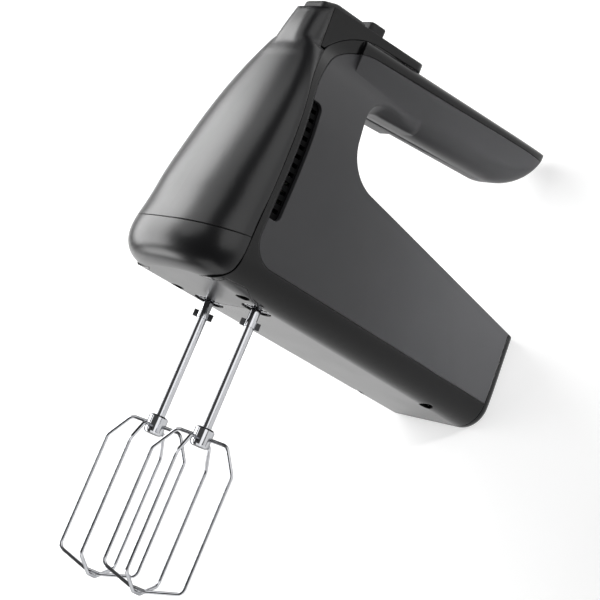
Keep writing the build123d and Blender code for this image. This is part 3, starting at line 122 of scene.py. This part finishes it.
COVER_NODES = ("front_fairing", "nose_cap")
PANEL_NODES = ("left_side_shell", "right_side_shell")
CHASSIS_NODES = ("chassis_shell", "heel_cover", "control_housing")
BUTTON_NODES = ("eject_button", "speed_slider", "turbo_button")
VENT_NODES = ("left_vent_screen", "right_vent_screen")
NYLON_NODES = (
    "gear_frame", "gear_frame_lid", "motor_bracket", "ejector_guide", "ejector_fork", "cooling_fan",
    "speed_switch",
)
WHEEL_NODES = ("left_worm_wheel", "right_worm_wheel")
BOARD_NODES = ("control_board",)
BRONZE_NODES = (
    "front_bearing", "middle_bearing", "rear_bearing", "lower_spindle_bushes", "upper_spindle_bushes",
    "brush_holders",
)
COPPER_NODES = ("field_coils", "armature_windings", "commutator")
LAMINATION_NODES = ("stator_core", "armature_core")
CARBON_NODES = ("carbon_brushes",)
STEEL_NODES = (
    "motor_shaft", "left_spindle", "right_spindle", "housing_screws", "frame_screws", "ejector_spring",
)
RUBBER_NODES = ("cord_inlet_bush", "motor_leads")
BEATER_PIECES = ("shaft", "hub", "outer_loop", "inner_loop")


def linear(colour):
    """Linear colour, with alpha, of an sRGB hex value such as #4a4a4c."""
    channels = []
    for start in (1, 3, 5):
        value = int(colour[start:start + 2], 16) / 255
        channels.append(value / 12.92 if value <= 0.04045 else ((value + 0.055) / 1.055) ** 2.4)
    return (*channels, 1.0)


def add(tree, kind, links=None, **settings):
    """Adds a node to a material, sets what it needs and links or fills its inputs."""
    node = tree.nodes.new(kind)
    for name, value in settings.items():
        setattr(node, name, value)
    for name, value in (links or {}).items():
        if isinstance(value, bpy.types.NodeSocket):
            tree.links.new(value, node.inputs[name])
        else:
            node.inputs[name].default_value = value
    return node


def start_material(name):
    """New node material with a surface shader and object coordinates in metres."""
    material = bpy.data.materials.new(name)
    material.use_nodes = True
    tree = material.node_tree
    tree.nodes.clear()
    shader = add(tree, "ShaderNodeBsdfPrincipled")
    add(tree, "ShaderNodeOutputMaterial", {"Surface": shader.outputs["BSDF"]})
    place = add(tree, "ShaderNodeTexCoord").outputs["Object"]
    return material, tree, shader, place


def moulded_plastic(name, colour, shade, roughness, grain_mm, depth_mm, edge_mm, ior=PLAIN_IOR, blend=None):
    """Injection-moulded plastic: fine tool grain, faint flow clouding and softly rounded edges.

    A blend is a place where two forms run into each other: its centre, its reach and its radius.
    """
    material, tree, shader, place = start_material(name)
    clouds = add(tree, "ShaderNodeTexNoise", {
        "Vector": place, "Scale": 1 / (FLOW_CLOUD_MM * MM), "Detail": FLOW_CLOUD_DETAIL,
    })
    tone = add(tree, "ShaderNodeMix", {
        "Factor": clouds.outputs["Fac"], "A": linear(colour), "B": linear(shade),
    }, data_type="RGBA")
    tree.links.new(tone.outputs["Result"], shader.inputs["Base Color"])
    sheen = add(tree, "ShaderNodeMapRange", {
        "Value": clouds.outputs["Fac"], "To Min": roughness - FLOW_SHINIER, "To Max": roughness + FLOW_DULLER,
    })
    tree.links.new(sheen.outputs["Result"], shader.inputs["Roughness"])
    edge = add(tree, "ShaderNodeBevel", {"Radius": edge_mm * MM}, samples=EDGE_SAMPLES)
    if blend:
        centre, reach, radius = blend
        away = add(tree, "ShaderNodeVectorMath", {0: place, 1: centre}, operation="DISTANCE")
        easing = add(tree, "ShaderNodeMapRange", {
            "Value": away.outputs["Value"], "From Min": reach / 2, "From Max": reach,
            "To Min": radius, "To Max": edge_mm * MM,
        })
        tree.links.new(easing.outputs["Result"], edge.inputs["Radius"])
    grain = add(tree, "ShaderNodeTexNoise", {
        "Vector": place, "Scale": 1 / (grain_mm * MM), "Detail": GRAIN_DETAIL,
    })
    bump = add(tree, "ShaderNodeBump", {
        "Height": grain.outputs["Fac"], "Distance": depth_mm * MM, "Strength": GRAIN_STRENGTH,
        "Normal": edge.outputs["Normal"],
    })
    tree.links.new(bump.outputs["Normal"], shader.inputs["Normal"])
    shader.inputs["IOR"].default_value = ior
    return material


def metal(name, colour, shade, roughness, streak_mm, stretch, rim=EVEN_REFLECTION):
    """Bare or plated metal with drawn or turned streaks; stretch draws them out along an axis."""
    material, tree, shader, place = start_material(name)
    mapping = add(tree, "ShaderNodeMapping", {"Vector": place, "Scale": stretch})
    streaks = add(tree, "ShaderNodeTexNoise", {
        "Vector": mapping.outputs["Vector"], "Scale": 1 / (streak_mm * MM), "Detail": STREAK_DETAIL,
    })
    tone = add(tree, "ShaderNodeMix", {
        "Factor": streaks.outputs["Fac"], "A": linear(colour), "B": linear(shade),
    }, data_type="RGBA")
    tree.links.new(tone.outputs["Result"], shader.inputs["Base Color"])
    polish = add(tree, "ShaderNodeMapRange", {
        "Value": streaks.outputs["Fac"],
        "To Min": roughness * STREAK_BRIGHT, "To Max": roughness * STREAK_DULL,
    })
    tree.links.new(polish.outputs["Result"], shader.inputs["Roughness"])
    shader.inputs["Metallic"].default_value = 1.0
    shader.inputs["Specular Tint"].default_value = linear(rim)
    return material


def layered(name, colour, shade, roughness, layer_mm, metallic):
    """Stacked sheets or wound turns: even bands along the mixer's length."""
    material, tree, shader, place = start_material(name)
    # At scale 1 the wave comes back after about 1 / pi of a metre.
    bands = add(tree, "ShaderNodeTexWave", {
        "Vector": place, "Scale": 1 / (math.pi * layer_mm * MM), "Distortion": BAND_WAVER,
    }, bands_direction="Z")
    tone = add(tree, "ShaderNodeMix", {
        "Factor": bands.outputs["Fac"], "A": linear(colour), "B": linear(shade),
    }, data_type="RGBA")
    tree.links.new(tone.outputs["Result"], shader.inputs["Base Color"])
    bump = add(tree, "ShaderNodeBump", {"Height": bands.outputs["Fac"], "Distance": BAND_DEPTH_MM * MM})
    tree.links.new(bump.outputs["Normal"], shader.inputs["Normal"])
    shader.inputs["Roughness"].default_value = roughness
    shader.inputs["Metallic"].default_value = metallic
    return material


def finish_nodes(names, material):
    """Gives CAD nodes a material in place of their plain one."""
    for name in names:
        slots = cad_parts[name].data.materials
        slots.clear()
        slots.append(material)


class MixerFinish(bpy.types.PropertyGroup):
    """Colours of the mixer, as sRGB hex values, and the grain and edges of its plastics."""
    cover: StringProperty(
        name="Front covers", description="Charcoal of the fairing and nose cap", default="#19191b",
    )
    panel: StringProperty(
        name="Side panels", description="Grey of the panels and grip", default="#4a4a4c",
    )
    chassis: StringProperty(
        name="Chassis", description="Near-black of the base, strip and heel", default="#0d0d0e",
    )
    button: StringProperty(
        name="Buttons", description="Dark grey of the buttons", default="#272728",
    )
    chrome: StringProperty(
        name="Beaters", description="Tone of the plated wire", default="#d4d5d8",
    )
    grain: FloatProperty(
        name="Tool grain", description="Width of the moulding grain in mm", default=0.5, min=0.1,
    )
    edge: FloatProperty(
        name="Edge softness", description="Rounding of moulded edges in mm", default=0.7, min=0.0,
    )


class MixerStudio(bpy.types.PropertyGroup):
    """Camera and floor."""
    camera_place: FloatVectorProperty(
        name="Camera place", description="Where the photograph was taken from",
        subtype="TRANSLATION", unit="LENGTH",
        default=(-0.194078, -0.761895, 0.732402),
    )
    camera_turn: FloatVectorProperty(
        name="Camera turn", description="Direction and roll of the photograph",
        subtype="EULER", unit="ROTATION",
        default=(math.radians(33.652), math.radians(42.245), math.radians(-59.031)),
    )
    focal_pixels: FloatProperty(
        name="Focal length", description="Focal length in pixels of the photograph",
        default=1955.66, min=100.0,
    )
    floor_colour: StringProperty(
        name="Floor", description="Colour of the floor", default="#d2d2d2",
    )


class MIXER_OT_covers(bpy.types.Operator):
    """Front fairing and nose cap: satin-gloss charcoal plastic"""
    bl_idname = "mixer.covers"
    bl_label = "Front covers"

    def execute(self, context):
        finish = context.scene.mixer_finish
        # ABS moulded in a polished tool: dark body, broad soft highlights and a slight orange peel.
        material = moulded_plastic(
            "abs_polished_mould_charcoal", finish.cover, "#161618",
            roughness=0.3, grain_mm=3.0, depth_mm=0.002, edge_mm=finish.edge, ior=ABS_IOR, blend=TOWER_FOOT,
        )
        finish_nodes(COVER_NODES, material)
        return {"FINISHED"}


class MIXER_OT_panels(bpy.types.Operator):
    """Side panels and grip: satin grey plastic"""
    bl_idname = "mixer.panels"
    bl_label = "Side panels"

    def execute(self, context):
        finish = context.scene.mixer_finish
        # ABS moulded in a spark-eroded tool: an even satin that spreads the light over the whole panel.
        # The real grain is about a tenth of a millimetre, and is drawn coarser so that it shows.
        material = moulded_plastic(
            "abs_spark_eroded_grey", finish.panel, "#454547",
            roughness=0.42, grain_mm=finish.grain, depth_mm=0.02, edge_mm=finish.edge, ior=TEXTURED_IOR,
            blend=HANDLE_ROOT,
        )
        finish_nodes(PANEL_NODES, material)
        return {"FINISHED"}


class MIXER_OT_chassis(bpy.types.Operator):
    """Base, strip, heel and control housing: near-black plastic"""
    bl_idname = "mixer.chassis"
    bl_label = "Chassis"

    def execute(self, context):
        finish = context.scene.mixer_finish
        # ABS moulded in a polished tool: nearly black, with a clear sheen on the flat base.
        material = moulded_plastic(
            "abs_polished_mould_black", finish.chassis, "#0a0a0b",
            roughness=0.2, grain_mm=3.0, depth_mm=0.002, edge_mm=finish.edge, ior=TEXTURED_IOR,
            blend=HANDLE_ROOT,
        )
        finish_nodes(CHASSIS_NODES, material)
        return {"FINISHED"}


class MIXER_OT_buttons(bpy.types.Operator):
    """Eject button, speed slider and turbo pad: matt plastic"""
    bl_idname = "mixer.buttons"
    bl_label = "Buttons"

    def execute(self, context):
        finish = context.scene.mixer_finish
        # Thermoplastic rubber skin over ABS, moulded: matt, with a fine even grain, drawn coarse to show.
        material = moulded_plastic(
            "tpe_moulded_matt_grey", finish.button, "#232324",
            roughness=0.5, grain_mm=finish.grain, depth_mm=0.03, edge_mm=finish.edge, ior=TEXTURED_IOR,
        )
        finish_nodes(BUTTON_NODES, material)
        return {"FINISHED"}


class MIXER_OT_vents(bpy.types.Operator):
    """Vent screens: matt black plastic, drawn darker as painted shade of the scoop"""
    bl_idname = "mixer.vents"
    bl_label = "Vent screens"

    def execute(self, context):
        # Polypropylene, moulded: dull black, drawn darker than the other black plastics as painted shade, so
        # that the scoop looks as dark as a shaded recess.
        material = moulded_plastic(
            "polypropylene_black_painted_shade", "#060607", "#040405",
            roughness=0.7, grain_mm=0.6, depth_mm=0.02, edge_mm=0.3, ior=MATT_IOR,
        )
        finish_nodes(VENT_NODES, material)
        return {"FINISHED"}


class MIXER_OT_beaters(bpy.types.Operator):
    """Beaters: bright plated steel wire"""
    bl_idname = "mixer.beaters"
    bl_label = "Beaters"

    def execute(self, context):
        finish = context.scene.mixer_finish
        # Steel wire, drawn and chrome-plated: near-mirror, darker where it turns away, with faint lines
        # along the shaft. Real drawing lines are far finer, and are drawn coarser so that they show.
        material = metal(
            "steel_drawn_chrome_plated", finish.chrome, "#bfc0c4",
            roughness=0.08, streak_mm=0.8, stretch=(0.08, 1.0, 1.0), rim=CHROME_RIM,
        )
        for side in ("left", "right"):
            finish_nodes([f"{side}_beater_{piece}" for piece in BEATER_PIECES], material)
        return {"FINISHED"}


class MIXER_OT_drive(bpy.types.Operator):
    """Motor, gears and fittings inside the casing"""
    bl_idname = "mixer.drive"
    bl_label = "Drive"

    def execute(self, context):
        # Glass-filled nylon, moulded: pale and dull, with fibres just showing, drawn coarser than they are.
        finish_nodes(NYLON_NODES, moulded_plastic(
            "nylon_glass_filled_moulded", "#b9b8b0", "#a9a8a0",
            roughness=0.5, grain_mm=0.8, depth_mm=0.03, edge_mm=0.4,
        ))
        # Acetal, moulded: waxy ivory.
        finish_nodes(WHEEL_NODES, moulded_plastic(
            "acetal_moulded_ivory", "#d8d2bd", "#cdc6b0",
            roughness=0.35, grain_mm=1.0, depth_mm=0.01, edge_mm=0.2,
        ))
        # Phenolic paper board, punched: warm brown with a fibrous mottle.
        finish_nodes(BOARD_NODES, moulded_plastic(
            "phenolic_board_punched", "#8d6a3b", "#7c5b30",
            roughness=0.45, grain_mm=0.7, depth_mm=0.02, edge_mm=0.2,
        ))
        # Bronze, sintered: grainy brown metal.
        finish_nodes(BRONZE_NODES, metal(
            "bronze_sintered", "#b08a57", "#97733f",
            roughness=0.4, streak_mm=0.4, stretch=(1.0, 1.0, 1.0),
        ))
        # Enamelled copper, wound: fine reddish turns.
        finish_nodes(COPPER_NODES, layered(
            "copper_enamelled_wound", "#b5622f", "#8a451d", roughness=0.35, layer_mm=0.5, metallic=0.8,
        ))
        # Electrical steel, punched and stacked: dark edge lines half a millimetre apart.
        finish_nodes(LAMINATION_NODES, layered(
            "electrical_steel_stacked", "#6d6e70", "#4d4e50", roughness=0.45, layer_mm=0.5, metallic=0.9,
        ))
        # Carbon, pressed: black and slightly greasy.
        finish_nodes(CARBON_NODES, moulded_plastic(
            "carbon_pressed", "#1b1b1c", "#151516",
            roughness=0.5, grain_mm=0.4, depth_mm=0.02, edge_mm=0.1,
        ))
        # Free-cutting steel, turned: grey with fine streaks along the mixer.
        finish_nodes(STEEL_NODES, metal(
            "steel_turned", "#b4b5b8", "#98999c",
            roughness=0.25, streak_mm=0.5, stretch=(1.0, 1.0, 0.2),
        ))
        # Rubber, moulded: soft black.
        finish_nodes(RUBBER_NODES, moulded_plastic(
            "rubber_moulded_black", "#1d1d1e", "#171718",
            roughness=0.65, grain_mm=0.6, depth_mm=0.02, edge_mm=0.3,
        ))
        return {"FINISHED"}


class MIXER_OT_spring(bpy.types.Operator):
    """Ejector's return spring, copied to a mesh of its own on the housing in place of the CAD node; the copy
    stays as modelled and does not close up as the button is pressed
    """
    bl_idname = "mixer.spring"
    bl_label = "Return spring"

    def execute(self, context):
        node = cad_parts["ejector_spring"]
        spring = bpy.data.objects.new("return_spring", node.data.copy())
        context.scene.collection.objects.link(spring)
        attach(spring, "housing")
        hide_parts("ejector_spring")
        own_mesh(spring)
        return {"FINISHED"}


class MIXER_OT_stage(bpy.types.Operator):
    """Floor, lamps and camera"""
    bl_idname = "mixer.stage"
    bl_label = "Stage"

    def execute(self, context):
        studio = context.scene.mixer_studio
        self.add_floor(studio)
        self.add_lamps(context)
        self.add_air(context)
        self.add_camera(context, studio)
        context.scene.view_settings.view_transform = "Standard"
        return {"FINISHED"}

    def add_floor(self, studio):
        """Pale floor that shows white to the camera and to reflections, and keeps the shadow."""
        bpy.ops.mesh.primitive_plane_add(size=FLOOR_SIZE, location=(0, 0, CAD_BOX[0][2]))
        floor = bpy.context.object
        floor.name = "studio_floor"
        # Paper, matt coated: even and pale, with no shine.
        material = bpy.data.materials.new("paper_floor")
        material.use_nodes = True
        tree = material.node_tree
        tree.nodes.clear()
        paper = add(tree, "ShaderNodeBsdfDiffuse", {"Color": linear(studio.floor_colour)})
        glow = add(tree, "ShaderNodeEmission", {"Color": WHITE, "Strength": FLOOR_GLOW})
        lit = add(tree, "ShaderNodeAddShader", {0: paper.outputs["BSDF"], 1: glow.outputs["Emission"]})
        ray = add(tree, "ShaderNodeLightPath")
        reflected = add(tree, "ShaderNodeMath", {
            0: ray.outputs["Is Glossy Ray"], 1: ray.outputs["Is Transmission Ray"],
        }, operation="MAXIMUM")
        seen = add(tree, "ShaderNodeMath", {
            0: ray.outputs["Is Camera Ray"], 1: reflected.outputs["Value"],
        }, operation="MAXIMUM")
        surface = add(tree, "ShaderNodeMixShader", {
            "Fac": seen.outputs["Value"], 1: paper.outputs["BSDF"], 2: lit.outputs["Shader"],
        })
        add(tree, "ShaderNodeOutputMaterial", {"Surface": surface.outputs["Shader"]})
        floor.data.materials.append(material)

    def add_lamps(self, context):
        """Soft boxes behind the nose, overhead, beside the panel and facing the base, and one on the heel."""
        middle = (Vector(CAD_BOX[0]) + Vector(CAD_BOX[1])) / 2
        heel = Vector((middle.x + HEEL_LIT_X, CAD_BOX[0][1], 0.0))
        aims = {"middle": middle, "heel": heel}
        for name, place, aim, size, spread, power in LAMPS:
            light = bpy.data.lights.new(name, "AREA")
            light.shape = "RECTANGLE"
            light.size, light.size_y = size
            light.spread = math.radians(spread)
            light.energy = power
            lamp = bpy.data.objects.new(name, light)
            lamp.visible_camera = False
            lamp.location = place
            lamp.rotation_euler = (aims[aim] - Vector(place)).to_track_quat("-Z", "Y").to_euler()
            context.scene.collection.objects.link(lamp)

    def add_air(self, context):
        """Even fill light from all round."""
        world = bpy.data.worlds.new("studio_air")
        world.use_nodes = True
        background = world.node_tree.nodes["Background"]
        background.inputs["Color"].default_value = WHITE
        background.inputs["Strength"].default_value = AIR_LEVEL
        context.scene.world = world

    def add_camera(self, context, studio):
        """Camera at the photograph's place, roll and focal length."""
        camera = bpy.data.cameras.new("photo_camera")
        camera.sensor_width = SENSOR_WIDTH
        camera.lens = studio.focal_pixels / PHOTO_PIXELS * SENSOR_WIDTH
        camera.clip_start = NEAREST_SEEN
        holder = bpy.data.objects.new("photo_camera", camera)
        holder.location = studio.camera_place
        holder.rotation_euler = Euler(studio.camera_turn, "XYZ")
        context.scene.collection.objects.link(holder)
        context.scene.camera = holder


class MIXER_PT_sidebar(bpy.types.Panel):
    """Lists the mixer's pieces and settings"""
    bl_idname = "MIXER_PT_sidebar"
    bl_label = "Hand mixer"
    bl_space_type = "VIEW_3D"
    bl_region_type = "UI"
    bl_category = "Mixer"

    def draw(self, context):
        layout = self.layout
        for group in (context.scene.mixer_finish, context.scene.mixer_studio):
            box = layout.box()
            for name in group.__annotations__:
                box.prop(group, name)
        for operator in OPERATORS:
            layout.operator(operator.bl_idname)


OPERATORS = (
    MIXER_OT_covers, MIXER_OT_panels, MIXER_OT_chassis, MIXER_OT_buttons, MIXER_OT_vents, MIXER_OT_beaters,
    MIXER_OT_drive, MIXER_OT_spring, MIXER_OT_stage,
)
CLASSES = (MixerFinish, MixerStudio, *OPERATORS, MIXER_PT_sidebar)


def register():
    for item in CLASSES:
        bpy.utils.register_class(item)
    bpy.types.Scene.mixer_finish = PointerProperty(type=MixerFinish)
    bpy.types.Scene.mixer_studio = PointerProperty(type=MixerStudio)


def unregister():
    del bpy.types.Scene.mixer_studio
    del bpy.types.Scene.mixer_finish
    for item in reversed(CLASSES):
        bpy.utils.unregister_class(item)


def main():
    register()
    bpy.ops.mixer.covers()
    bpy.ops.mixer.panels()
    bpy.ops.mixer.chassis()
    bpy.ops.mixer.buttons()
    bpy.ops.mixer.vents()
    bpy.ops.mixer.beaters()
    bpy.ops.mixer.drive()
    bpy.ops.mixer.spring()
    bpy.ops.mixer.stage()


if __name__ == "__main__":
    main()
